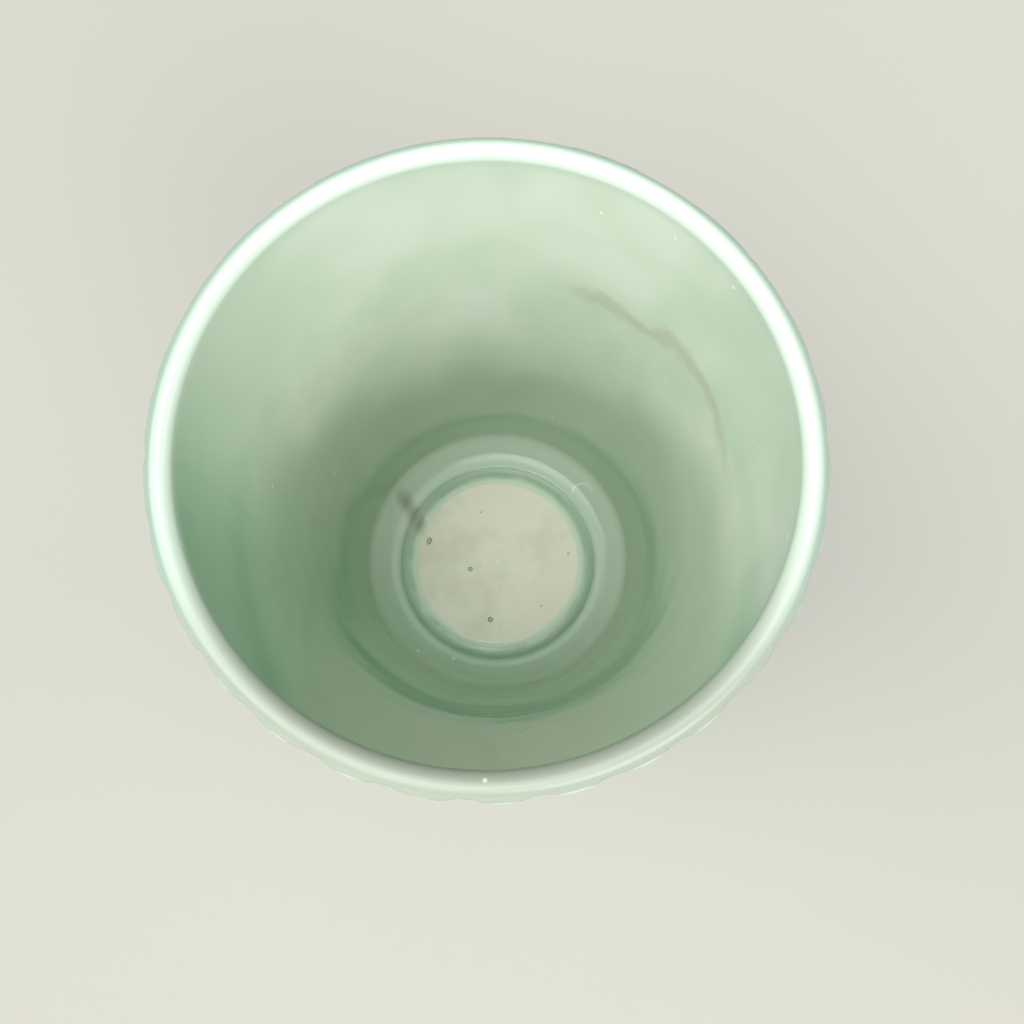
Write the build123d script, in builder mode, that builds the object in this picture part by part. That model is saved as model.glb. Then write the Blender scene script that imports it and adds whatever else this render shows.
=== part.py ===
"""Brush holder pot: a thrown, rib-carved ceramic wall, a dropped-in floor disc, the pooled glaze that
holds the disc, and a foot ring luted underneath.

Millimetres, +Z up. The origin is on the pot's axis, in the plane that the foot ring stands on.
"""

import os
from math import atan2, cos, degrees, radians, sin, tan

from build123d import *

os.makedirs("parts", exist_ok=True)

# ---- driving dimensions ----

# Whole pot
overall_height = 143.0  # standing face to the crest of the lip
mouth_diameter = 119.0  # outside of the lip
foot_diameter = 87.0  # outside of the wall at its foot, between the ribs

# Wall and lip
lip_thickness = 4.6  # the lip is a full round of this thickness
lip_band = 1.8  # plain height of the lip above the rib tips
lip_proud = 0.3  # the lip stands this far out from the hollows between the ribs
wall_thickness = 5.6  # at the foot, measured in the hollows
floor_fillet = 8.5  # sweep of the wall into the floor, inside

# Carved ribs
rib_count = 30
rib_relief_mouth = 1.5  # crest above hollow, near the lip
rib_relief_foot = 1.2  # the same, near the foot
rib_share = 0.75  # part of the pitch that the convex face of a rib takes
first_rib_angle = -4.0  # degrees from +X to the crest of the first rib
rib_fade = 2.4  # length over which a rib rounds off at each end
foot_band = 4.0  # plain height of the wall below the ribs
core_inset = 0.6  # the plain cone behind the ribs lies this far inside their hollows
tip_dip = 0.4  # a rib's round tip runs this far inside the hollows, into the lip
heel_dip = 1.0  # its lower end runs this far inside them, into the plain cone
crest_margin = 0.3  # the turned envelope that rounds the ends clears the crests by this much

# Floor
ledge_thickness = 3.5  # inward shelf at the foot of the wall
ledge_width = 7.0  # how far the shelf reaches in under the disc
disc_thickness = 4.0
disc_face_diameter = 50.0  # flat top of the disc, inside its bevelled edge
disc_bevel = 2.8  # radial width of the bevelled edge
disc_clearance = 0.2  # gap all round, between the disc and its recess
groove_flare = 1.6  # the groove's outer side leans out by this much
bead_depth = 2.2  # depth of the groove that the pooled glaze fills
bead_sag = 0.5  # dip of the glaze surface in the middle of the groove

# Foot ring
foot_height = 3.5
foot_width = 5.5
foot_inset = 1.6  # the ring lies this far inside the edge of the wall's underside
foot_chamfer = 0.8

# ---- derived places ----

ledge_top = foot_height + ledge_thickness
floor_level = ledge_top + disc_thickness
groove_bottom = floor_level - bead_depth
rib_bottom = foot_height + foot_band
rib_top = overall_height - lip_band

lip_radius = lip_thickness / 2
lip_centre = mouth_diameter / 2 - lip_radius
lip_centre_level = overall_height - lip_radius
inner_foot_radius = foot_diameter / 2 - wall_thickness
inner_mouth_radius = mouth_diameter / 2 - lip_thickness
inner_taper = atan2(inner_mouth_radius - inner_foot_radius, lip_centre_level - floor_level)

hollow_foot_radius = foot_diameter / 2
hollow_mouth_radius = mouth_diameter / 2 - lip_proud
hollow_slope = (hollow_mouth_radius - hollow_foot_radius) / (rib_top - rib_bottom)

disc_face_radius = disc_face_diameter / 2
disc_radius = disc_face_radius + disc_bevel
recess_radius = disc_radius + disc_clearance
groove_radius = recess_radius + groove_flare
opening_radius = recess_radius - ledge_width

# The fillet ends before the groove: its tangent takes at most this share of the flat between them.
fillet_share = 0.95
fillet_tangent = tan(radians(90 - degrees(inner_taper)) / 2)
fillet_limit = fillet_share * (inner_foot_radius - groove_radius) / fillet_tangent
inner_fillet = min(floor_fillet, fillet_limit)

foot_outer_radius = hollow_foot_radius - core_inset - foot_inset
foot_inner_radius = foot_outer_radius - foot_width


def hollow_radius(level):
    """Radius of the hollows between the ribs at a height."""
    return hollow_foot_radius + hollow_slope * (level - rib_bottom)


def polar(radius, angle):
    """Point in the plane at a radius and an angle in degrees."""
    return (radius * cos(radians(angle)), radius * sin(radians(angle)))


def on_lip(angle):
    """Point of the lip's round section, with 0 degrees outwards and 90 degrees at the crest."""
    return (lip_centre + lip_radius * cos(angle), lip_centre_level + lip_radius * sin(angle))


# ---- pot wall ----

rib_sections = [
    (rib_bottom, rib_relief_foot),
    (rib_top, rib_relief_mouth),
]
half_pitch = 180.0 / rib_count
shoulder_angle = rib_share * half_pitch

with BuildPart() as pot_wall:
    # Ribbed cone: one scalloped outline at each end, a convex arc for a rib and a concave one for a hollow.
    for level, relief in rib_sections:
        hollow = hollow_radius(level)
        shoulder = hollow + relief * (1 - rib_share)
        with BuildSketch(Plane.XY.offset(level)):
            with BuildLine():
                for rib in range(rib_count):
                    crest_angle = first_rib_angle + 2 * rib * half_pitch
                    ThreePointArc(
                        polar(shoulder, crest_angle - shoulder_angle),
                        polar(hollow + relief, crest_angle),
                        polar(shoulder, crest_angle + shoulder_angle),
                    )
                    ThreePointArc(
                        polar(shoulder, crest_angle + shoulder_angle),
                        polar(hollow, crest_angle + half_pitch),
                        polar(shoulder, crest_angle + 2 * half_pitch - shoulder_angle),
                    )
            make_face()
    loft()

    # Rounded rib ends: a turned envelope clears the crests along their length and dips inside the hollows
    # at both ends.
    low_tip = (hollow_radius(rib_bottom) - heel_dip, rib_bottom)
    high_tip = (hollow_radius(rib_top) - tip_dip, rib_top)
    crest_low = (hollow_radius(rib_bottom) + rib_relief_foot + crest_margin, rib_bottom + rib_fade)
    crest_high = (hollow_radius(rib_top) + rib_relief_mouth + crest_margin, rib_top - rib_fade)
    crest_line = Vector(crest_high[0] - crest_low[0], crest_high[1] - crest_low[1])
    with BuildSketch(Plane.XZ):
        with BuildLine():
            Line((0, rib_bottom), low_tip)
            TangentArc(crest_low, low_tip, tangent=-crest_line)
            Line(crest_low, crest_high)
            TangentArc(crest_high, high_tip, tangent=crest_line)
            Polyline(high_tip, (0, rib_top), (0, rib_bottom))
        make_face()
    revolve(axis=Axis.Z, mode=Mode.INTERSECT)

    # Plain cone behind the ribs, with the foot below them and the round lip above.
    neck_level = lip_centre_level - lip_proud - core_inset
    with BuildSketch(Plane.XZ):
        with BuildLine():
            Polyline(
                (0, foot_height),
                (hollow_radius(foot_height) - core_inset, foot_height),
                (hollow_radius(neck_level) - core_inset, neck_level),
                on_lip(0),
            )
            ThreePointArc(on_lip(0), on_lip(radians(45)), on_lip(radians(90)))
            Polyline(on_lip(radians(90)), (0, overall_height), (0, foot_height))
        make_face()
    revolve(axis=Axis.Z)

    # Inside: lip, tapered wall, floor fillet, glaze groove, disc recess and the opening in the ledge.
    inner_lip = radians(180) + inner_taper
    with BuildSketch(Plane.XZ) as inside:
        with BuildLine():
            ThreePointArc(on_lip(radians(90)), on_lip(radians(135)), on_lip(inner_lip))
            Polyline(
                on_lip(inner_lip),
                (inner_foot_radius, floor_level),
                (groove_radius, floor_level),
                (recess_radius, groove_bottom),
                (recess_radius, ledge_top),
                (opening_radius, ledge_top),
                (opening_radius, foot_height),
                (0, foot_height),
                (0, overall_height),
                on_lip(radians(90)),
            )
        make_face()
        corner = inside.vertices().sort_by_distance((inner_foot_radius, floor_level))[0]
        fillet(corner, inner_fillet)
    revolve(axis=Axis.Z, mode=Mode.SUBTRACT)

# ---- floor disc, dropped in from above onto the ledge ----

with BuildPart() as base_disc:
    with BuildSketch(Plane.XZ):
        with BuildLine():
            Polyline(
                (0, ledge_top),
                (disc_radius, ledge_top),
                (disc_radius, groove_bottom),
                (disc_face_radius, floor_level),
                (0, floor_level),
                close=True,
            )
        make_face()
    revolve(axis=Axis.Z)

# ---- pooled glaze in the groove round the disc ----

with BuildPart() as glaze_bead:
    with BuildSketch(Plane.XZ):
        with BuildLine():
            Polyline(
                (disc_face_radius, floor_level),
                (disc_radius, groove_bottom),
                (recess_radius, groove_bottom),
                (groove_radius, floor_level),
            )
            ThreePointArc(
                (groove_radius, floor_level),
                ((groove_radius + disc_face_radius) / 2, floor_level - bead_sag),
                (disc_face_radius, floor_level),
            )
        make_face()
    revolve(axis=Axis.Z)

# ---- foot ring under the wall ----

with BuildPart() as foot_ring:
    with BuildSketch(Plane.XY):
        Circle(foot_outer_radius)
        Circle(foot_inner_radius, mode=Mode.SUBTRACT)
    extrude(amount=foot_height)
    chamfer(foot_ring.faces().sort_by(Axis.Z)[0].edges(), foot_chamfer)

pot_wall.part.label = "pot_wall"
base_disc.part.label = "base_disc"
glaze_bead.part.label = "glaze_bead"
foot_ring.part.label = "foot_ring"

export_step(pot_wall.part, "parts/pot_wall.step")
export_step(base_disc.part, "parts/base_disc.step")
export_step(glaze_bead.part, "parts/glaze_bead.step")
export_step(foot_ring.part, "parts/foot_ring.step")
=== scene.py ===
import math

import bmesh
import bpy
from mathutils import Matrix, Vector, noise


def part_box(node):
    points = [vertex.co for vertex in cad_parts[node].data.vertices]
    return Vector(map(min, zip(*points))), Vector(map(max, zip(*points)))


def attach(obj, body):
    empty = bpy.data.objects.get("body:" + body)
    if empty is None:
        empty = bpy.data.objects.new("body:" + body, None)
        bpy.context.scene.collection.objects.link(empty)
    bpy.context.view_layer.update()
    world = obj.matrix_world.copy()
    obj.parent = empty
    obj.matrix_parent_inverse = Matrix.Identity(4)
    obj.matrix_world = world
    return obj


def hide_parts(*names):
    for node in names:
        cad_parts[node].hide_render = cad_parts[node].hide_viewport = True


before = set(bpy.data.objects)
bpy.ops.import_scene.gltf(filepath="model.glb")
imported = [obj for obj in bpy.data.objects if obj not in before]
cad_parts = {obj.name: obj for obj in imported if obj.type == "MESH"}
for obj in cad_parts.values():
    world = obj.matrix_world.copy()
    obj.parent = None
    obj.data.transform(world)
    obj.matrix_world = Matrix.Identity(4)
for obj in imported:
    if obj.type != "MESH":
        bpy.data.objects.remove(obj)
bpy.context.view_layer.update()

scene = bpy.context.scene
mm = 0.001  # every size below is in millimetres


# places that come from the frame, in millimetres

def top(node):
    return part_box(node)[1][2] / mm


def bottom(node):
    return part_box(node)[0][2] / mm


def outerRadius(node):
    low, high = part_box(node)
    return (high[0] - low[0]) / 2 / mm


lipTop = top("pot_wall")
footTop = bottom("pot_wall")
floorLevel = top("base_disc")
ledgeTop = bottom("base_disc")
grooveBottom = bottom("glaze_bead")
discRadius = outerRadius("base_disc")
grooveRadius = outerRadius("glaze_bead")
footRadius = outerRadius("foot_ring")


# helpers for modelling

def pickOnly(piece):
    bpy.ops.object.select_all(action="DESELECT")
    piece.select_set(True)
    bpy.context.view_layer.objects.active = piece


def startOutline(name, point):
    # a plane merged to one vertex is the pencil point that draws the outline
    bpy.ops.object.select_all(action="DESELECT")
    bpy.ops.mesh.primitive_plane_add(size=0.01, location=(0, 0, 0))
    piece = bpy.context.object
    piece.name = name
    piece.data.name = name
    bpy.ops.object.mode_set(mode="EDIT")
    bpy.ops.mesh.select_mode(type="VERT")
    bpy.ops.mesh.select_all(action="SELECT")
    bpy.ops.mesh.merge(type="CENTER")
    bpy.ops.transform.translate(value=(point[0] * mm, 0, point[1] * mm))
    return piece


def volumeOf(piece):
    # negative where a closed shell in edit mode is inside out
    return bmesh.from_edit_mesh(piece.data).calc_volume(signed=True)


def turnOutline(name, points, columns, closed):
    # draws the outline point by point, then spins it round the pot's axis
    piece = startOutline(name, points[0])
    for before, after in zip(points, points[1:]):
        step = ((after[0] - before[0]) * mm, 0, (after[1] - before[1]) * mm)
        bpy.ops.mesh.extrude_region_move(TRANSFORM_OT_translate={"value": step})
    if closed:
        bpy.ops.mesh.select_all(action="DESELECT")
        bpy.ops.object.mode_set(mode="OBJECT")
        for end in (points[0], points[-1]):
            corner = Vector((end[0] * mm, 0, end[1] * mm))
            min(piece.data.vertices, key=lambda vertex: (vertex.co - corner).length).select = True
        bpy.ops.object.mode_set(mode="EDIT")
        bpy.ops.mesh.edge_face_add()
    bpy.ops.mesh.select_all(action="SELECT")
    bpy.ops.mesh.spin(steps=columns, angle=math.tau, center=(0, 0, 0), axis=(0, 0, 1))
    bpy.ops.mesh.select_all(action="SELECT")
    bpy.ops.mesh.remove_doubles(threshold=0.00001)
    bpy.ops.mesh.normals_make_consistent(inside=False)
    if volumeOf(piece) < 0:
        bpy.ops.mesh.flip_normals()
    bpy.ops.object.mode_set(mode="OBJECT")
    bpy.ops.object.shade_smooth()
    return piece


def arcPoints(centre, radius, start, end, steps):
    # angles in degrees: 0 points outwards, 90 points up
    points = []
    for step in range(steps + 1):
        angle = math.radians(start + (end - start) * step / steps)
        points.append((centre[0] + radius * math.cos(angle), centre[1] + radius * math.sin(angle)))
    return points


def linePoints(start, end, steps):
    points = []
    for step in range(steps + 1):
        t = step / steps
        points.append((start[0] + (end[0] - start[0]) * t, start[1] + (end[1] - start[1]) * t))
    return points


def joinOutline(*runs):
    # one list of points, without the ends that two runs share
    points = []
    for run in runs:
        for point in run:
            if not points or math.dist(points[-1], point) > 0.02:
                points.append(point)
    return points


def pushOut(piece, name, weights, height):
    # a painted weight for each vertex, and a Displace modifier that moves the surface along its normal
    group = piece.vertex_groups.new(name=name)
    for index, weight in weights.items():
        group.add([index], weight, "REPLACE")
    pickOnly(piece)
    push = piece.modifiers.new(name, "DISPLACE")
    push.direction = "NORMAL"
    push.strength = height * mm
    push.mid_level = 0.0
    push.vertex_group = name
    bpy.ops.object.modifier_apply(modifier=push.name)


# helpers for colours and nodes

def hexColour(text):
    # sRGB hex to linear
    parts = [int(text[i:i + 2], 16) / 255 for i in (1, 3, 5)]
    linear = [part / 12.92 if part <= 0.04045 else ((part + 0.055) / 1.055) ** 2.4 for part in parts]
    return (*linear, 1.0)


def addNode(tree, kind, settings=None, links=None, out=0):
    # settings: attribute, or input by name or number, to a value; links: input to an output socket
    node = tree.nodes.new("ShaderNode" + kind)
    for key, value in (settings or {}).items():
        if isinstance(key, str) and hasattr(node, key):
            setattr(node, key, value)
        else:
            node.inputs[key].default_value = value
    for key, output in (links or {}).items():
        tree.links.new(output, node.inputs[key])
    return node.outputs[out]


# pot wall: turned, then carved

wallSizes = {
    "ribs": 30,
    "columnsPerRib": 16,
    "firstRib": -4.0,  # degrees from +X to a rib crest
    "lipThickness": 4.6,
    "lipOutside": 59.5,
    "hollowAtLip": 59.2,  # radius between the ribs, at their tips
    "hollowAtFoot": 43.5,
    "ribTop": 141.2,
    "ribBottom": 7.5,
    "reliefAtLip": 1.46,  # crest above hollow
    "reliefAtFoot": 1.2,
    "ribShare": 0.75,  # part of the pitch that the convex face takes
    "tipLean": 33,  # degrees from upright at which the ribs run out, in line with the lip's round
    "tipStray": 0.25,  # how far the ribs' ends stray in and out
    "heelLength": 3.0,
    "wallAtFoot": 5.6,
    "floorFillet": 8.5,
    "grooveFlare": 1.6,
    "ledgeWidth": 7.0,
    "edgeRound": 0.9,  # softening of the edge above the foot ring
    "neckHeight": 4.2,  # the last stretch under the lip, where the rows are close together
    "insideDepth": 3.5,  # at least this far in from the hollows is the inside face
    "throwingPitch": 12,  # from one turn of the throwing rings to the next
    "throwingDepth": 0.4,
    "throwingStop": 4,  # below the top, where they end
}


def between(start, end, t):
    return start + (end - start) * t


def alongRib(level):
    # 0 at the foot end of the ribs and 1 at their tips
    return (level - wallSizes["ribBottom"]) / (wallSizes["ribTop"] - wallSizes["ribBottom"])


def hollowRadius(level):
    return between(wallSizes["hollowAtFoot"], wallSizes["hollowAtLip"], alongRib(level))


def wallOutline():
    s = wallSizes
    lipRadius = s["lipThickness"] / 2
    lipCentre = (s["lipOutside"] - lipRadius, lipTop - lipRadius)
    insideFoot = s["hollowAtFoot"] - s["wallAtFoot"]
    taper = math.degrees(math.atan2(lipCentre[0] - lipRadius - insideFoot, lipCentre[1] - floorLevel))
    recess = grooveRadius - s["grooveFlare"]
    opening = recess - s["ledgeWidth"]
    edge = s["edgeRound"]
    footEdge = (hollowRadius(footTop) - edge - 0.6, footTop + edge)
    underside = linePoints((opening, footTop), (footEdge[0], footTop), 14)
    edgeArc = arcPoints(footEdge, edge, -90, 0, 5)
    # the bare band above the foot ring swells out to the hollows of the ribs
    band = linePoints(edgeArc[-1], (hollowRadius(s["ribBottom"]), s["ribBottom"]), 4)
    neckBottom = lipCentre[1] - s["neckHeight"]
    neckTop = lipCentre[1] - 0.5
    outside = linePoints(band[-1], (hollowRadius(neckBottom), neckBottom), 46)
    neck = linePoints(outside[-1], (hollowRadius(neckTop), neckTop), 12)
    # the lip swells out of the neck
    swell = [(s["lipOutside"] - 0.15, lipCentre[1] - 0.25)]
    lip = arcPoints(lipCentre, lipRadius, 0, 180 + taper, 22)
    filletStart = 90 - taper
    tangent = s["floorFillet"] * math.tan(math.radians(filletStart) / 2)
    filletCentre = (insideFoot - tangent, floorLevel + s["floorFillet"])
    fillet = arcPoints(filletCentre, s["floorFillet"], -taper, -90, 12)
    inside = linePoints(lip[-1], fillet[0], 70)
    groove = linePoints((grooveRadius, floorLevel), (recess, grooveBottom), 4)
    under = [(recess, ledgeTop), (opening, ledgeTop)]
    return joinOutline(underside, edgeArc, band, outside, neck, swell, lip, inside, fillet, groove, under)


def ribPhase(angle, level):
    # 0 on a crest and 1 in a hollow, for a hand that wandered a little along each rib
    s = wallSizes
    turn = (math.degrees(angle) - s["firstRib"]) * s["ribs"] / 360
    turn += 0.13 * noise.noise(Vector((math.cos(angle) * 3.1, math.sin(angle) * 3.1, level / 55)))
    rib = math.floor(turn + 0.5)
    return abs(turn - rib) * 2, rib % s["ribs"]


def ribHeight(phase):
    # a convex face, then a short concave one down into the hollow
    share = wallSizes["ribShare"]
    if phase < share:
        return 1 - phase * phase / share
    return (1 - phase) ** 2 / (1 - share)


def runOut(level, stray):
    # the ribs end on a steep cone that touches the lip's round section
    s = wallSizes
    lipRadius = s["lipThickness"] / 2
    lean = math.radians(s["tipLean"])
    rise = level - (lipTop - lipRadius)
    return s["lipOutside"] - lipRadius + (lipRadius + stray - rise * math.sin(lean)) / math.cos(lean)


def endFade(distance, length):
    # a quarter round: 0 at the very end and 1 once past its length
    if distance <= 0:
        return 0.0
    if distance >= length:
        return 1.0
    return math.sqrt(1 - (1 - distance / length) ** 2)


def carveRibs(piece):
    s = wallSizes
    heights, weights = {}, {}
    for vertex in piece.data.vertices:
        x, y, level = vertex.co.x / mm, vertex.co.y / mm, vertex.co.z / mm
        radius = math.hypot(x, y)
        if radius < hollowRadius(level) - 2.2 or level > s["ribTop"] + 1.0 or level < footTop + 0.5:
            continue
        phase, rib = ribPhase(math.atan2(y, x), level)
        hand = 0.88 + 0.12 * noise.noise(Vector((rib * 7.3, 1.7, level / 40)))
        stray = s["tipStray"] * noise.noise(Vector((rib * 3.7, 9.1, 0.4)))
        height = ribHeight(phase) * hand
        height *= endFade(level - s["ribBottom"] + 1.2 * (1 - phase * phase), s["heelLength"])
        relief = between(s["reliefAtFoot"], s["reliefAtLip"], alongRib(level))
        # a rib stands on the cone of the hollows, so that it runs into the lip and doesn't lift it
        push = min(hollowRadius(level) + relief * height, runOut(level, stray)) - radius
        heights[vertex.index] = height
        weights[vertex.index] = max(0.0, min(1.0, push / s["reliefAtLip"]))
    pushOut(piece, "ribs", weights, s["reliefAtLip"])
    return heights


def markThrowing(piece):
    # soft rings left by the fingers inside the wall, climbing like a screw thread
    s = wallSizes
    highest = lipTop - s["throwingStop"]
    weights = {}
    for vertex in piece.data.vertices:
        x, y, level = vertex.co.x / mm, vertex.co.y / mm, vertex.co.z / mm
        outside = math.hypot(x, y) > hollowRadius(level) - s["insideDepth"]
        if outside or level < floorLevel + 0.2 or level > highest:
            continue
        climb = level / s["throwingPitch"] + math.atan2(y, x) / math.tau
        pressure = 0.5 + 0.5 * noise.noise(Vector((0, 0, level / 17)))
        rings = 0.5 * math.sin(math.tau * climb) * pressure
        swell = noise.noise(Vector((x / 34, y / 34, level / 30)))
        fade = min(1.0, (highest - level) / 60, (level - floorLevel) / 8)
        weights[vertex.index] = max(0.0, min(1.0, fade * (0.5 + 0.15 * rings + 0.3 * swell)))
    pushOut(piece, "throwing", weights, s["throwingDepth"])


def makePotWall():
    s = wallSizes
    piece = turnOutline("pot_wall_glazed", wallOutline(), s["ribs"] * s["columnsPerRib"], True)
    ribs = carveRibs(piece)
    markThrowing(piece)
    # the carving is kept as an attribute, so that the glaze can break on crests and pool in hollows
    crest = piece.data.attributes.new("crest", "FLOAT", "POINT")
    outer = piece.data.attributes.new("outer", "FLOAT", "POINT")
    for vertex in piece.data.vertices:
        crest.data[vertex.index].value = ribs.get(vertex.index, 0.0)
        outer.data[vertex.index].value = 1.0 if vertex.index in ribs else 0.0
    piece.vertex_groups.clear()
    return piece


potWall = makePotWall()
print("pot wall turned and carved:", len(potWall.data.polygons), "faces")


# floor disc

discSizes = {
    "columns": 192,
    "faceRadius": 25.0,
    "edgeRound": 0.5,
    "chamferUnder": 0.5,
    "sunk": 0.05,  # the middle is this far below the top of the frame's disc
    "rise": 0.12,  # and stands this much above the edge
    "markDepth": 0.035,  # of the turning marks
    # burst bubbles: place on the disc, and radius
    "pinholes": [
        (-20.8, 6.6, 0.8), (-21.1, 5.9, 0.7), (-8.3, -2.4, 0.75), (-2.1, -17.7, 0.85),
        (21.6, 2.4, 0.4), (13.2, -13.5, 0.3), (-5.2, 15.3, 0.3),
    ],
    "pinholeRim": (0.22, 0.05),  # the rim's inset, as a share of the bubble's radius, and its lift
    "pinholeSteps": [(0.24, -0.3), (0.2, -0.35)],  # then inwards and down, both as shares of the radius
}


def discOutline():
    s = discSizes
    face = []
    rings = 42
    for ring in range(rings + 1):
        radius = (s["faceRadius"] - s["edgeRound"]) * ring / rings
        # turning marks, and a slight dish towards the edge
        mark = s["markDepth"] * math.sin(radius * 2.9) * noise.noise(Vector((radius / 3.1, 0, 0)))
        dish = s["rise"] * (radius / s["faceRadius"]) ** 2
        face.append((radius, floorLevel - s["sunk"] - dish + mark))
    slope = (grooveBottom - floorLevel) / (discRadius - s["faceRadius"])
    shoulder = (s["faceRadius"] + 0.35, floorLevel + slope * 0.35 - 0.06)
    bevelEnd = (discRadius - 0.02, grooveBottom)
    bevel = linePoints(shoulder, bevelEnd, 5)
    side = linePoints(bevelEnd, (discRadius - 0.02, ledgeTop + s["chamferUnder"]), 2)
    under = linePoints((discRadius - s["chamferUnder"], ledgeTop + 0.005), (0, ledgeTop + 0.005), 12)
    return joinOutline(face, bevel, side, under)


def digPinholes(piece):
    # each burst bubble: the faces in it are inset for a raised rim, then twice more for the sunken middle
    rimInset, rimLift = discSizes["pinholeRim"]
    for x, y, size in discSizes["pinholes"]:
        pickOnly(piece)
        bpy.ops.object.mode_set(mode="EDIT")
        bpy.ops.mesh.select_mode(type="FACE")
        bpy.ops.mesh.select_all(action="DESELECT")
        bpy.ops.object.mode_set(mode="OBJECT")
        for face in piece.data.polygons:
            away = math.hypot(face.center.x / mm - x, face.center.y / mm - y)
            face.select = face.normal.z > 0.7 and face.center.z / mm > floorLevel - 1 and away < size
        if not any(face.select for face in piece.data.polygons):
            continue
        bpy.ops.object.mode_set(mode="EDIT")
        bpy.ops.mesh.inset(thickness=size * rimInset * mm)
        bpy.ops.transform.translate(value=(0, 0, rimLift * mm))
        for inset, lift in discSizes["pinholeSteps"]:
            bpy.ops.mesh.inset(thickness=size * inset * mm)
            bpy.ops.transform.translate(value=(0, 0, lift * size * mm))
        bpy.ops.object.mode_set(mode="OBJECT")


def makeBaseDisc():
    piece = turnOutline("base_disc_turned", discOutline(), discSizes["columns"], False)
    digPinholes(piece)
    pickOnly(piece)
    bpy.ops.object.shade_smooth()
    return piece


baseDisc = makeBaseDisc()
print("floor disc turned:", len(baseDisc.data.polygons), "faces")


# pooled glaze

beadSizes = {
    "columns": 240,
    "lapIn": 0.55,  # the glaze creeps this far over the disc's edge
    "lapOut": 0.7,  # and this far up the floor of the wall
    "film": 0.06,  # how far its feather edges stand above disc and wall
    "sag": 0.5,
    "uneven": 0.3,  # how much its edges wander
}


def beadOutline():
    s = beadSizes
    face = discSizes["faceRadius"]
    inner = (face - s["lapIn"], floorLevel - discSizes["sunk"] - discSizes["rise"] + s["film"])
    outer = (grooveRadius + s["lapOut"], floorLevel + 0.01)
    # a meniscus: it runs out level at both edges and dips between them
    surface = []
    steps = 16
    for step in range(steps + 1):
        t = step / steps
        dip = s["sag"] * math.sin(math.pi * t) ** 1.4
        surface.append((between(inner[0], outer[0], t), between(inner[1], outer[1], t) - dip))
    under = [(grooveRadius, floorLevel - 0.06), (discRadius + 0.2, grooveBottom), (discRadius, grooveBottom),
             (face + 0.3, floorLevel - 0.5)]
    return joinOutline(surface, under)


def makeGlazeBead():
    piece = turnOutline("glaze_bead_pooled", beadOutline(), beadSizes["columns"], True)
    # the edges of the pool wander: it is stretched and squeezed a little, in and out
    middle = (discSizes["faceRadius"] + grooveRadius) / 2
    for vertex in piece.data.vertices:
        x, y, level = vertex.co.x / mm, vertex.co.y / mm, vertex.co.z / mm
        radius = math.hypot(x, y)
        if level < floorLevel - 0.6:
            continue
        angle = math.atan2(y, x)
        drift = noise.noise(Vector((math.cos(angle) * 2.3, math.sin(angle) * 2.3, 4.0)))
        fine = noise.noise(Vector((math.cos(angle) * 9, math.sin(angle) * 9, 7.0)))
        side = (radius - middle) / (grooveRadius - middle)
        moved = radius + side * beadSizes["uneven"] * (0.8 * drift + 0.35 * fine)
        vertex.co.x *= moved / radius
        vertex.co.y *= moved / radius
    # the feather edges stay crisp, the rest is smooth
    pickOnly(piece)
    bpy.ops.object.shade_smooth_by_angle(angle=math.radians(60))
    return piece


glazeBead = makeGlazeBead()
print("glaze pool made:", len(glazeBead.data.polygons), "faces")


# foot ring

footSizes = {
    "columns": 240,
    "width": 5.5,
    "chamfer": 0.8,
    "wear": 0.25,  # rounding of its edges
}


def footOutline():
    s = footSizes
    out, inn, cut, wear = footRadius, footRadius - s["width"], s["chamfer"], s["wear"]
    standing = linePoints((inn + cut, 0), (out - cut, 0), 6)
    outerSide = [(out - cut + wear, 0.05), (out - wear, cut - 0.05), (out, cut + wear)]
    outerWall = linePoints((out, cut + wear), (out, footTop - 0.15), 4)
    joint = [(out - 0.15, footTop - 0.005)]
    joint += linePoints((out - 0.6, footTop - 0.005), (inn + 0.6, footTop - 0.005), 3)
    innerWall = linePoints((inn, footTop - 0.15), (inn, cut + wear), 4)
    innerSide = [(inn + wear, cut - 0.05), (inn + cut - wear, 0.05)]
    return joinOutline(standing, outerSide, outerWall, joint, innerWall, innerSide)


def makeFootRing():
    return turnOutline("foot_ring_turned", footOutline(), footSizes["columns"], True)


footRing = makeFootRing()
print("foot ring turned:", len(footRing.data.polygons), "faces")


# materials

def perMm(size):
    # texture scale for a pattern that repeats about every size mm
    return 1 / (size * mm)


def softStep(span, unit=1.0):
    # settings for a smooth step: nothing where the span starts, and all, or its third value, where it ends
    start, end, most = (*span, 1.0)[:3]
    return {"interpolation_type": "SMOOTHSTEP", "From Min": start * unit, "From Max": end * unit,
            "To Max": most}


def newMaterial(name):
    material = bpy.data.materials.new(name)
    material.use_nodes = True
    tree = material.node_tree
    return material, tree, tree.nodes["Principled BSDF"]


def fromAxis(tree, place):
    # a place dropped to the foot's level, and how far it is from the pot's axis
    flat = addNode(tree, "VectorMath", {"operation": "MULTIPLY", 1: (1, 1, 0)}, {0: place})
    return flat, addNode(tree, "VectorMath", {"operation": "LENGTH"}, {0: flat}, "Value")


stainLook = {
    "colour": "#7f8666",
    "place": (-26.5, 15.5),  # mm, over the pool
    "turn": 115,  # degrees from +X
    "long": 9,  # mm
    "wide": 3,
    "curl": 4,  # mm, size of its smoky curls
    "edge": (1.6, 0.5, 0.75),
}


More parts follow.
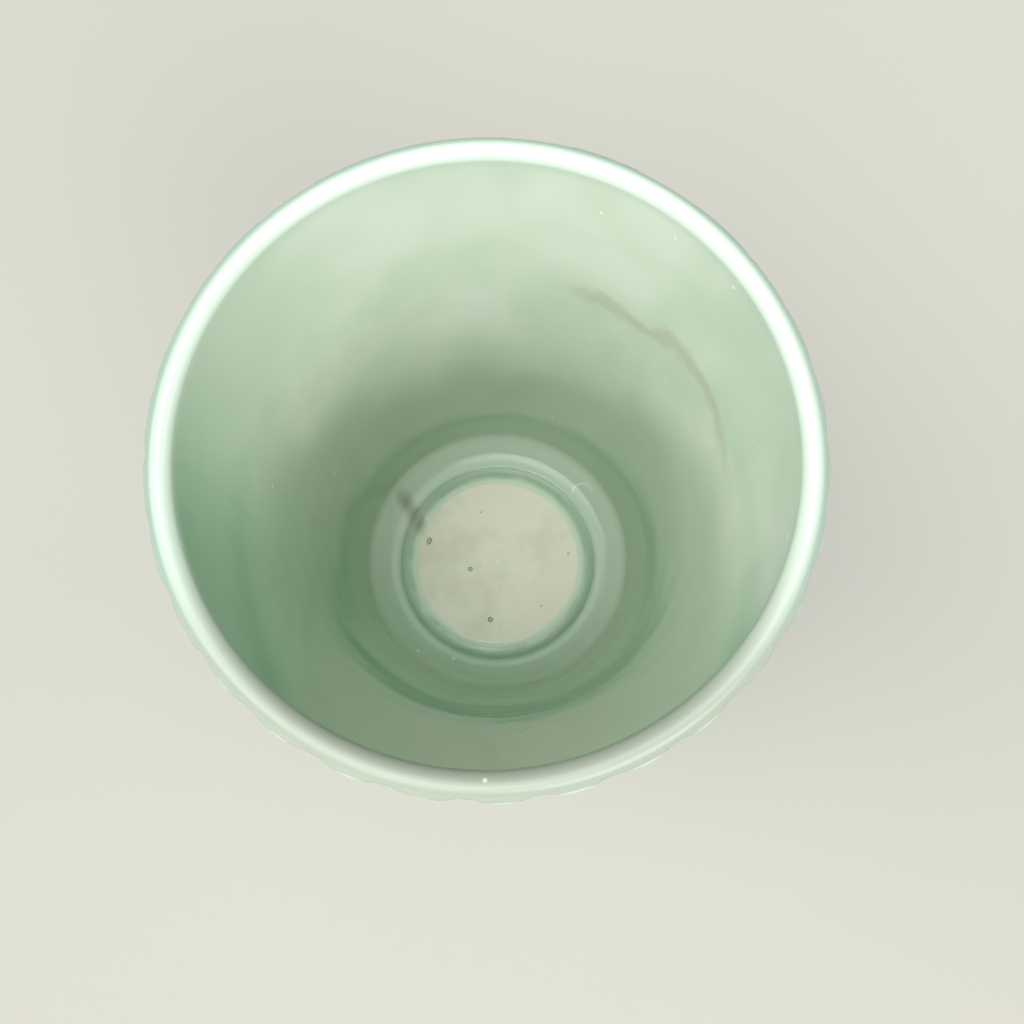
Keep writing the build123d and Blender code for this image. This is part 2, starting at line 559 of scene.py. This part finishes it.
def stainShare(tree, place):
    # a smoky streak that crosses the pool: an ellipse on a turned and squeezed copy of the place
    look = stainLook
    x, y = look["place"]
    ellipse = {
        "vector_type": "TEXTURE",
        "Location": (x * mm, y * mm, 0),
        "Rotation": (0, 0, math.radians(look["turn"])),
        "Scale": (look["long"] * mm, look["wide"] * mm, 1),
    }
    turned = addNode(tree, "Mapping", ellipse, {"Vector": place})
    away = addNode(tree, "VectorMath", {"operation": "LENGTH"}, {0: turned}, "Value")
    curls = addNode(tree, "TexNoise", {"Scale": perMm(look["curl"]), "Detail": 3}, {"Vector": place})
    ragged = addNode(tree, "Math", {"operation": "MULTIPLY_ADD", 1: 0.8}, {0: curls, 2: away})
    return addNode(tree, "MapRange", softStep(look["edge"]), {"Value": ragged})


# sizes, levels and distances in mm. A span is where a coat starts, where it is full, and its share there
glazeLook = {
    # pale patches of thin glaze, and painted light along the curve into the floor
    "thinAndLit": "#d3ddce",
    "body": "#c1d0bd",
    "thick": "#adc5ad",
    # painted shade colour: darker green over the inside up to the tilted plane
    "paintedShade": "#92b094",
    # painted shade colour for the near-left side of the inside
    "deep": "#7aa584",
    "crest": "#b3c4b3",
    "hollow": "#93b092",
    "runLine": "#ab9f84",
    "lip": "#d0e0d3",
    "lipOutside": "#98aea3",
    # painted shade colour for the near side of the lip
    "lipShadeNear": "#a2a89c",
    "seed": "#eaf2e6",
    "roughness": (0.06, 0.15),  # least and most
    "ior": 1.52,
    "cloud": 30,  # size of the soft patches
    "creep": (95, 15, 0.4),  # level: melted glaze creeps down, so it is thicker and greener near the floor
    "curveLevel": 3.6,  # above the floor, the middle of the curve into the floor, painted paler for the light on its upward-facing round
    "curve": (4.4, 0.6, 0.8),
    "shadePlane": (0, 0.8, 1.0),  # painted shade: darker green inside up to this tilted plane, so low on the far wall and high on the near wall
    "shadeLevel": 94,
    "shadeEdge": (14, -12, 0.62),  # a soft edge
    "shadeWave": 28,
    "shadeWander": 20,
    "shadeFoot": (18, 65),  # level: the painted shade, here and on the near-left side, fades towards the floor
    "shadeFootShare": 0.45,
    "bandFoot": (16, 17.2),  # level: painted light, a paler band on the near side that the painted shade leaves out, with a crisp lower edge
    "bandTop": (64, 52),  # and a soft, wavy upper one
    "bandWave": 40,
    "bandSway": 30,
    "bandSide": (-6, -30, 0.8),  # it fades out towards the far side
    "shadeSide": (-0.35, -0.94, 0),  # painted shade: darker green on the near-left side of the inside
    "shadeSideReach": (-8, 38, 0.82),
    "rise": (0.05, 0.55),  # height on a rib, 0 in a hollow and 1 on a crest, where the hollow's green ends
    "break": (0.55, 0.92),  # and where the glaze breaks pale over the crest
    "runLevel": 104,  # where one coat ends over the other, on the far right inside
    "runWave": 26,  # how far it climbs and falls
    "runWaveSize": 24,
    "runWidth": (4.2, 0.2),
    "runSide": (10, 26, 0.36),
    "runFar": (0, 14),
    "tongue": (26.0, 20.8),  # where a tongue of glaze ended short of the pool
    "tongueSize": 3.3,
    "tongueEdge": (0.5, 0.1, 0.6),
    "lipFade": (4.5, 1.0, 0.9),  # below the top: the glaze drains off the lip, and the white body shows
    "lipRound": (56.5, 58.8),  # distance from the axis at which the lip turns outwards
    "lipShadeSide": (-12, -50),  # painted shade: the lip is greyer on the near side
    "peel": 7.0,  # ripple of the melted surface
    "seedEvery": 11,  # from one seed bubble to the next
    "seedSize": 0.45,
}


def insideColour(tree, place, axes, clouds):
    look = glazeLook
    cloudy = addNode(tree, "MapRange", softStep((0.3, 0.7)), {"Value": clouds})
    creep = addNode(tree, "MapRange", softStep(look["creep"], mm), {"Value": axes["Z"]})
    # painted light: paler along the curve into the floor, which faces up to the light
    curveLevel = (floorLevel + look["curveLevel"]) * mm
    curve = addNode(tree, "Math", {"operation": "SUBTRACT", 1: curveLevel}, {0: axes["Z"]})
    curve = addNode(tree, "Math", {"operation": "ABSOLUTE"}, {0: curve})
    curve = addNode(tree, "MapRange", softStep(look["curve"], mm), {"Value": curve})
    # painted shade: darker green up to a wandering edge on a tilted plane
    wave = addNode(tree, "TexNoise", {"Scale": perMm(look["shadeWave"]), "Detail": 2}, {"Vector": place})
    wander = look["shadeWander"]
    shadeLevel = (look["shadeLevel"] + wander / 2) * mm
    tilted = {"operation": "DOT_PRODUCT", 1: look["shadePlane"]}
    shadeShare = addNode(tree, "VectorMath", tilted, {0: place}, "Value")
    shadeShare = addNode(tree, "Math", {"operation": "MULTIPLY_ADD", 1: wander * mm}, {0: wave, 2: shadeShare})
    shadeShare = addNode(tree, "Math", {"operation": "SUBTRACT", 1: shadeLevel}, {0: shadeShare})
    shadeShare = addNode(tree, "MapRange", softStep(look["shadeEdge"], mm), {"Value": shadeShare})
    # painted light: a paler band on the near wall that the painted shade leaves out
    wave = addNode(tree, "TexNoise", {"Scale": perMm(look["bandWave"]), "Detail": 1.5}, {"Vector": place})
    sway = look["bandSway"] * mm
    swayed = addNode(tree, "Math", {"operation": "MULTIPLY_ADD", 1: sway}, {0: wave, 2: axes["Z"]})
    swayed = addNode(tree, "Math", {"operation": "SUBTRACT", 1: sway / 2}, {0: swayed})
    bandTop = addNode(tree, "MapRange", softStep(look["bandTop"], mm), {"Value": swayed})
    bandFoot = addNode(tree, "MapRange", softStep(look["bandFoot"], mm), {"Value": axes["Z"]})
    bandSide = addNode(tree, "MapRange", softStep(look["bandSide"], mm), {"Value": axes["Y"]})
    litBand = addNode(tree, "Math", {"operation": "MULTIPLY"}, {0: bandTop, 1: bandFoot})
    litBand = addNode(tree, "Math", {"operation": "MULTIPLY"}, {0: litBand, 1: bandSide})
    shadeStrength = addNode(tree, "Math", {"operation": "SUBTRACT", 0: 1.0}, {1: litBand})
    shadeFoot = {**softStep(look["shadeFoot"], mm), "To Min": look["shadeFootShare"]}
    shadeFade = addNode(tree, "MapRange", shadeFoot, {"Value": axes["Z"]})
    shadeStrength = addNode(tree, "Math", {"operation": "MULTIPLY"}, {0: shadeStrength, 1: shadeFade})
    shadeShare = addNode(tree, "Math", {"operation": "MULTIPLY"}, {0: shadeShare, 1: shadeStrength})
    # painted shade: darker green again on the near-left side
    low = addNode(tree, "VectorMath", {"operation": "DOT_PRODUCT", 1: look["shadeSide"]}, {0: place}, "Value")
    low = addNode(tree, "MapRange", softStep(look["shadeSideReach"], mm), {"Value": low})
    low = addNode(tree, "Math", {"operation": "MULTIPLY"}, {0: low, 1: shadeStrength})
    ground = {"data_type": "RGBA", 6: hexColour(look["body"]), 7: hexColour(look["thinAndLit"])}
    colour = addNode(tree, "Mix", ground, {0: cloudy}, 2)
    # layers: thicker glaze near the floor, painted shade, a painted light band on the curve, and painted
    # shade on the near-left side
    for share, layerName in ((creep, "thick"), (shadeShare, "paintedShade"), (curve, "thinAndLit"), (low, "deep")):
        layer = {"data_type": "RGBA", 7: hexColour(look[layerName])}
        colour = addNode(tree, "Mix", layer, {0: share, 6: colour}, 2)
    return colour


def ribColour(tree):
    # green in the hollows, lighter on the ribs' sides, and pale where the glaze breaks over a crest
    look = glazeLook
    height = addNode(tree, "Attribute", {"attribute_name": "crest"}, out="Fac")
    rise = addNode(tree, "MapRange", softStep(look["rise"]), {"Value": height})
    edge = addNode(tree, "MapRange", softStep(look["break"]), {"Value": height})
    sides = {"data_type": "RGBA", 6: hexColour(look["hollow"]), 7: hexColour(look["thick"])}
    colour = addNode(tree, "Mix", sides, {0: rise}, 2)
    crests = {"data_type": "RGBA", 7: hexColour(look["crest"])}
    return addNode(tree, "Mix", crests, {0: edge, 6: colour}, 2)


def runLineShare(tree, place, axes, outer):
    # one coat laps over another inside, on one side of the wall only
    look = glazeLook
    waving = {"Scale": perMm(look["runWaveSize"]), "Detail": 4, "Roughness": 0.6}
    wave = addNode(tree, "TexNoise", waving, {"Vector": place})
    sway = {"operation": "MULTIPLY_ADD", 1: look["runWave"] * mm}
    waved = addNode(tree, "Math", sway, {0: wave, 2: axes["Z"]})
    runLevel = (look["runLevel"] + look["runWave"] / 2) * mm
    away = addNode(tree, "Math", {"operation": "SUBTRACT", 1: runLevel}, {0: waved})
    away = addNode(tree, "Math", {"operation": "ABSOLUTE"}, {0: away})
    line = addNode(tree, "MapRange", softStep(look["runWidth"], mm), {"Value": away})
    side = addNode(tree, "MapRange", softStep(look["runSide"], mm), {"Value": axes["X"]})
    far = addNode(tree, "MapRange", softStep(look["runFar"], mm), {"Value": axes["Y"]})
    inner = addNode(tree, "Math", {"operation": "SUBTRACT", 0: 1.0}, {1: outer})
    for share in (side, far, inner):
        line = addNode(tree, "Math", {"operation": "MULTIPLY"}, {0: line, 1: share})
    return line


def tongueShare(tree, place, axes):
    # the edge of a tongue of glaze: the far half of a ring round its middle
    look = glazeLook
    x, y = look["tongue"]
    middle = (x * mm, y * mm, (floorLevel + 1) * mm)
    rim = addNode(tree, "VectorMath", {"operation": "DISTANCE", 1: middle}, {0: place}, "Value")
    rim = addNode(tree, "Math", {"operation": "SUBTRACT", 1: look["tongueSize"] * mm}, {0: rim})
    rim = addNode(tree, "Math", {"operation": "ABSOLUTE"}, {0: rim})
    rim = addNode(tree, "MapRange", softStep(look["tongueEdge"], mm), {"Value": rim})
    beyond = addNode(tree, "MapRange", softStep((y, y + 2), mm), {"Value": axes["Y"]})
    return addNode(tree, "Math", {"operation": "MULTIPLY"}, {0: rim, 1: beyond})


def lipColour(tree, place, axes):
    look = glazeLook
    radius = fromAxis(tree, place)[1]
    outward = addNode(tree, "MapRange", softStep(look["lipRound"], mm), {"Value": radius})
    # painted shade: greyer towards the near side
    nearShade = addNode(tree, "MapRange", softStep(look["lipShadeSide"], mm), {"Value": axes["Y"]})
    turned = {"data_type": "RGBA", 6: hexColour(look["lip"]), 7: hexColour(look["lipOutside"])}
    colour = addNode(tree, "Mix", turned, {0: outward}, 2)
    nearShadeMix = {"data_type": "RGBA", 7: hexColour(look["lipShadeNear"])}
    return addNode(tree, "Mix", nearShadeMix, {0: nearShade, 6: colour}, 2)


def makeCeladon():
    # celadon: a thick iron-green stoneware glaze, melted smooth; pale where it runs thin on the lip and the
    # crests of the ribs, deeper green where it gathers in the hollows and low on the wall
    # inside, painted shade darkens the glaze low on the far wall, high on the near wall and on the near-left
    # side, and painted light makes paler bands on the near wall and the curve into the floor
    look = glazeLook
    material, tree, shader = newMaterial("celadon glaze on stoneware")
    place = addNode(tree, "TexCoord", out="Object")
    axes = addNode(tree, "SeparateXYZ", None, {0: place}).node.outputs
    clouds = addNode(tree, "TexNoise", {"Scale": perMm(look["cloud"]), "Detail": 2.5}, {"Vector": place})
    outer = addNode(tree, "Attribute", {"attribute_name": "outer"}, out="Fac")
    inside = insideColour(tree, place, axes, clouds)
    colour = addNode(tree, "Mix", {"data_type": "RGBA"}, {0: outer, 6: inside, 7: ribColour(tree)}, 2)
    marks = [
        (runLineShare(tree, place, axes, outer), look["runLine"]),
        (tongueShare(tree, place, axes), look["seed"]),
        (stainShare(tree, place), stainLook["colour"]),
    ]
    for share, markColour in marks:
        mark = {"data_type": "RGBA", 7: hexColour(markColour)}
        colour = addNode(tree, "Mix", mark, {0: share, 6: colour}, 2)
    below, above, most = look["lipFade"]
    lipSpan = (lipTop - below, lipTop - above, most)
    lipFade = addNode(tree, "MapRange", softStep(lipSpan, mm), {"Value": axes["Z"]})
    lip = lipColour(tree, place, axes)
    colour = addNode(tree, "Mix", {"data_type": "RGBA"}, {0: lipFade, 6: colour, 7: lip}, 2)
    # seed bubbles: here and there one has burst and left a pale pit
    cells = addNode(tree, "TexVoronoi", {"Scale": perMm(look["seedEvery"])}, {"Vector": place}, "Distance")
    seedEdge = look["seedSize"] / look["seedEvery"]
    seed = addNode(tree, "MapRange", softStep((seedEdge * 1.4, seedEdge * 0.6, 0.65)), {"Value": cells})
    colour = addNode(tree, "Mix", {"data_type": "RGBA", 7: hexColour(look["seed"])}, {0: seed, 6: colour}, 2)
    tree.links.new(colour, shader.inputs["Base Color"])
    smoothest, roughest = look["roughness"]
    rough = addNode(tree, "MapRange", {"To Min": smoothest, "To Max": roughest}, {"Value": clouds})
    tree.links.new(rough, shader.inputs["Roughness"])
    shader.inputs["IOR"].default_value = look["ior"]
    peel = addNode(tree, "TexNoise", {"Scale": perMm(look["peel"]), "Detail": 1.5}, {"Vector": place})
    ripple = addNode(tree, "Bump", {"Strength": 0.25, "Distance": 0.12 * mm}, {"Height": peel})
    pitted = addNode(tree, "Bump", {"invert": True, "Strength": 0.5, "Distance": 0.2 * mm},
                     {"Height": seed, "Normal": ripple})
    tree.links.new(pitted, shader.inputs["Normal"])
    return material


poolLook = {
    "deep": "#8cab8c",
    "edge": "#dce9da",
    "outer": "#a9c3a9",
    "roughness": 0.12,
    "ior": 1.52,
    "drift": 9,  # mm, size of the waves in the edge that laps on to the disc
    "wander": 2.2,  # mm, how far they reach
    "inwards": (26.3, 28.9),  # mm from the axis: the pool grows deeper outwards from its pale inner edge
    "outwards": (29.8, 32.5),  # and shallow again
}


def raggedRadius(tree, place, radius):
    # distance from the axis, with the wandering of the pool's inner edge
    look = poolLook
    drift = addNode(tree, "TexNoise", {"Scale": perMm(look["drift"]), "Detail": 3}, {"Vector": place})
    wander = {"operation": "MULTIPLY_ADD", 1: look["wander"] * mm}
    return addNode(tree, "Math", wander, {0: drift, 2: radius})


def makePool():
    # pooled celadon: the same glaze several times as thick, so deeper green, and glossy like still water
    look = poolLook
    material, tree, shader = newMaterial("pooled celadon glaze")
    place = addNode(tree, "TexCoord", out="Object")
    radius = fromAxis(tree, place)[1]
    ragged = raggedRadius(tree, place, radius)
    inwards = addNode(tree, "MapRange", softStep(look["inwards"], mm), {"Value": ragged})
    outwards = addNode(tree, "MapRange", softStep(look["outwards"], mm), {"Value": radius})
    ground = {"data_type": "RGBA", 6: hexColour(look["edge"]), 7: hexColour(look["deep"])}
    colour = addNode(tree, "Mix", ground, {0: inwards}, 2)
    for share, markColour in ((outwards, look["outer"]), (stainShare(tree, place), stainLook["colour"])):
        mark = {"data_type": "RGBA", 7: hexColour(markColour)}
        colour = addNode(tree, "Mix", mark, {0: share, 6: colour}, 2)
    tree.links.new(colour, shader.inputs["Base Color"])
    shader.inputs["Roughness"].default_value = look["roughness"]
    shader.inputs["IOR"].default_value = look["ior"]
    return material


floorLook = {
    "pale": "#f2ebde",
    "shade": "#e6dfd0",
    "warm": "#f4e7da",
    "speck": "#a39880",
    "fringe": "#b9cdb6",
    # painted highlight colour: the glint at the middle of the disc
    "nubGlint": "#fbf8ee",
    "pit": "#6b6c55",
    "roughness": 0.42,
    "ior": 1.5,
    "patch": 21,  # mm, size of the clouds in the wash
    "shady": (0.56, 0.36),
    "warmth": (0.52, 0.72),
    "mottle": 1.8,  # mm
    "grain": 0.9,  # mm, of the clay under the wash
    "mottled": (0.45, 0.75, 0.3),
    "speckEvery": 7.5,  # mm from one iron speck to the next
    "speckSize": 0.2,  # mm
    "fringeReach": (25.2, 26.8),  # mm from the axis: the pool's green creeps over the edge
    "nubGlintSize": (0.6, 0.2),  # mm: painted highlight, a near-white glint on the nub where the turning ended
    "pitRing": 0.72,  # a burst bubble has a dark ring at this share of its radius, and a glazed middle
    "pitEdge": (0.38, 0.1, 0.75),
}


def pinholeShare(tree, flat):
    # the dark ring of each burst bubble, found from the nearest one
    look = floorLook
    nearest = None
    for x, y, size in discSizes["pinholes"]:
        middle = (x * mm, y * mm, 0)
        reach = addNode(tree, "VectorMath", {"operation": "DISTANCE", 1: middle}, {0: flat}, "Value")
        reach = addNode(tree, "Math", {"operation": "DIVIDE", 1: size * mm}, {0: reach})
        if nearest:
            reach = addNode(tree, "Math", {"operation": "MINIMUM"}, {0: nearest, 1: reach})
        nearest = reach
    ring = addNode(tree, "Math", {"operation": "SUBTRACT", 1: look["pitRing"]}, {0: nearest})
    ring = addNode(tree, "Math", {"operation": "ABSOLUTE"}, {0: ring})
    return addNode(tree, "MapRange", softStep(look["pitEdge"]), {"Value": ring})


def makePaleFloor():
    # floor disc: a thin, half-matt wash of glaze over pale turned clay, green only where the pool laps on
    look = floorLook
    material, tree, shader = newMaterial("thin pale glaze on turned clay")
    place = addNode(tree, "TexCoord", out="Object")
    flat, radius = fromAxis(tree, place)
    clouding = {"Scale": perMm(look["patch"]), "Detail": 4, "Roughness": 0.6}
    patches = addNode(tree, "TexNoise", clouding, {"Vector": place})
    shady = addNode(tree, "MapRange", softStep(look["shady"]), {"Value": patches})
    warmth = addNode(tree, "MapRange", softStep(look["warmth"]), {"Value": patches})
    mottling = {"Scale": perMm(look["mottle"]), "Detail": 4, "Roughness": 0.65}
    mottle = addNode(tree, "TexNoise", mottling, {"Vector": place})
    mottled = addNode(tree, "MapRange", softStep(look["mottled"]), {"Value": mottle})
    cells = addNode(tree, "TexVoronoi", {"Scale": perMm(look["speckEvery"])}, {"Vector": place}, "Distance")
    speckEdge = look["speckSize"] / look["speckEvery"]
    speck = addNode(tree, "MapRange", softStep((speckEdge * 1.4, speckEdge * 0.6, 0.7)), {"Value": cells})
    ragged = raggedRadius(tree, place, radius)
    fringe = addNode(tree, "MapRange", softStep(look["fringeReach"], mm), {"Value": ragged})
    # painted highlight: a near-white dot at the middle
    nubGlint = addNode(tree, "MapRange", softStep(look["nubGlintSize"], mm), {"Value": radius})
    ground = {"data_type": "RGBA", 6: hexColour(look["pale"]), 7: hexColour(look["shade"])}
    colour = addNode(tree, "Mix", ground, {0: shady}, 2)
    marks = [
        (warmth, look["warm"]),
        (mottled, look["shade"]),
        (speck, look["speck"]),
        (fringe, look["fringe"]),
        (stainShare(tree, place), stainLook["colour"]),
        (nubGlint, look["nubGlint"]),
        (pinholeShare(tree, flat), look["pit"]),
    ]
    for share, markColour in marks:
        mark = {"data_type": "RGBA", 7: hexColour(markColour)}
        colour = addNode(tree, "Mix", mark, {0: share, 6: colour}, 2)
    tree.links.new(colour, shader.inputs["Base Color"])
    shader.inputs["Roughness"].default_value = look["roughness"]
    shader.inputs["IOR"].default_value = look["ior"]
    grain = addNode(tree, "TexNoise", {"Scale": perMm(look["grain"]), "Detail": 3}, {"Vector": place})
    bump = addNode(tree, "Bump", {"Strength": 0.3, "Distance": 0.08 * mm}, {"Height": grain})
    tree.links.new(bump, shader.inputs["Normal"])
    return material


clayLook = {
    "clay": "#b99a7a",
    "pale": "#cdb79b",
    "flash": "#9c6f4e",
    "grit": "#8a6b50",
    "roughness": 0.85,
    "patch": 12,  # mm
    "grain": 0.7,  # mm, size of the grit
    "gritty": (0.55, 0.72, 0.4),
}


def makeStoneware():
    # bare stoneware: gritty and matt, flashed warm brown where the glaze stops
    look = clayLook
    material, tree, shader = newMaterial("bare fired stoneware")
    place = addNode(tree, "TexCoord", out="Object")
    level = addNode(tree, "SeparateXYZ", None, {0: place}, "Z")
    clouding = {"Scale": perMm(look["patch"]), "Detail": 4, "Roughness": 0.6}
    patches = addNode(tree, "TexNoise", clouding, {"Vector": place})
    patchy = addNode(tree, "MapRange", {"From Min": 0.3, "From Max": 0.7}, {"Value": patches})
    flash = addNode(tree, "MapRange", softStep((1, footTop, 0.75), mm), {"Value": level})
    graining = {"Scale": perMm(look["grain"]), "Detail": 4, "Roughness": 0.7}
    grit = addNode(tree, "TexNoise", graining, {"Vector": place})
    gritty = addNode(tree, "MapRange", softStep(look["gritty"]), {"Value": grit})
    ground = {"data_type": "RGBA", 6: hexColour(look["clay"]), 7: hexColour(look["pale"])}
    colour = addNode(tree, "Mix", ground, {0: patchy}, 2)
    for share, markColour in ((flash, look["flash"]), (gritty, look["grit"])):
        mark = {"data_type": "RGBA", 7: hexColour(markColour)}
        colour = addNode(tree, "Mix", mark, {0: share, 6: colour}, 2)
    tree.links.new(colour, shader.inputs["Base Color"])
    shader.inputs["Roughness"].default_value = look["roughness"]
    bump = addNode(tree, "Bump", {"Strength": 0.6, "Distance": 0.15 * mm}, {"Height": grit})
    tree.links.new(bump, shader.inputs["Normal"])
    return material


finishes = [
    (potWall, makeCeladon(), "celadon_glaze", "pot_wall"),
    (baseDisc, makePaleFloor(), "pale_floor", "base_disc"),
    (glazeBead, makePool(), "pooled_glaze", "glaze_bead"),
    (footRing, makeStoneware(), "bare_stoneware", "foot_ring"),
]
for piece, material, slotName, node in finishes:
    piece.data.materials.clear()
    piece.data.materials.append(material)
    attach(piece, "root")
    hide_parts(node)
print("materials made and pieces placed on the root body")


# floor, light and camera

studio = {
    "floor": "#b0aea8",
    "floorSize": 40,  # m, so that its edge is far away
    "floorRoughness": 0.7,
    "air": "#f9fbf7",
    "haze": 0.28,  # strength of the air between the lights
    # soft lights in the air: turn round the pot from +X, height above the horizon, half width, strength
    "lights": [
        (0, 90, 34, 2.1),  # overhead
        (240, 58, 34, 3.05),  # high in front, to the left: the main one
        (240, 33, 30, 0.6),
        (180, 38, 34, 2.9),  # left
        (300, 33, 30, 3.9),  # in front, to the right
        (0, 33, 30, 1.5),  # right
    ],
}
camera = {
    "place": (4.4, -46.1, 305.2),  # mm, held over the near edge of the mouth
    "tilt": 11.8,  # degrees away from straight down
    "view": 55.4,  # degrees across the frame
}


def makeAir():
    # wide soft lights with no edges, like windows and a pale ceiling
    world = bpy.data.worlds.new("soft studio")
    scene.world = world
    world.use_nodes = True
    tree = world.node_tree
    air = tree.nodes["Background"]
    air.inputs["Color"].default_value = hexColour(studio["air"])
    direction = addNode(tree, "TexCoord", out="Generated")
    total = None
    for turn, height, halfWidth, strength in studio["lights"]:
        turn, height = math.radians(turn), math.radians(height)
        toLight = (math.cos(turn) * math.cos(height), math.sin(turn) * math.cos(height), math.sin(height))
        aim = {"operation": "DOT_PRODUCT", 1: toLight}
        facing = addNode(tree, "VectorMath", aim, {0: direction}, "Value")
        reach = (math.cos(math.radians(halfWidth)), 1.0, strength)
        glow = addNode(tree, "MapRange", softStep(reach), {"Value": facing})
        links = {0: glow} if total is None else {0: glow, 1: total}
        total = addNode(tree, "Math", {"operation": "ADD", 1: studio["haze"]}, links)
    tree.links.new(total, air.inputs["Strength"])


def makeStudio():
    bpy.ops.object.select_all(action="DESELECT")
    bpy.ops.mesh.primitive_plane_add(size=studio["floorSize"], location=(0, 0, 0))
    ground = bpy.context.object
    ground.name = "studio_floor"
    material, tree, shader = newMaterial("plain pale floor")
    shader.inputs["Base Color"].default_value = hexColour(studio["floor"])
    shader.inputs["Roughness"].default_value = studio["floorRoughness"]
    ground.data.materials.append(material)
    makeAir()
    scene.view_settings.view_transform = "Standard"


def makeCamera():
    place = [value * mm for value in camera["place"]]
    bpy.ops.object.camera_add(location=place, rotation=(math.radians(camera["tilt"]), 0, 0))
    eye = bpy.context.object
    eye.data.angle = math.radians(camera["view"])
    eye.data.clip_start = 0.01
    scene.camera = eye


makeStudio()
makeCamera()
print("studio and camera ready")
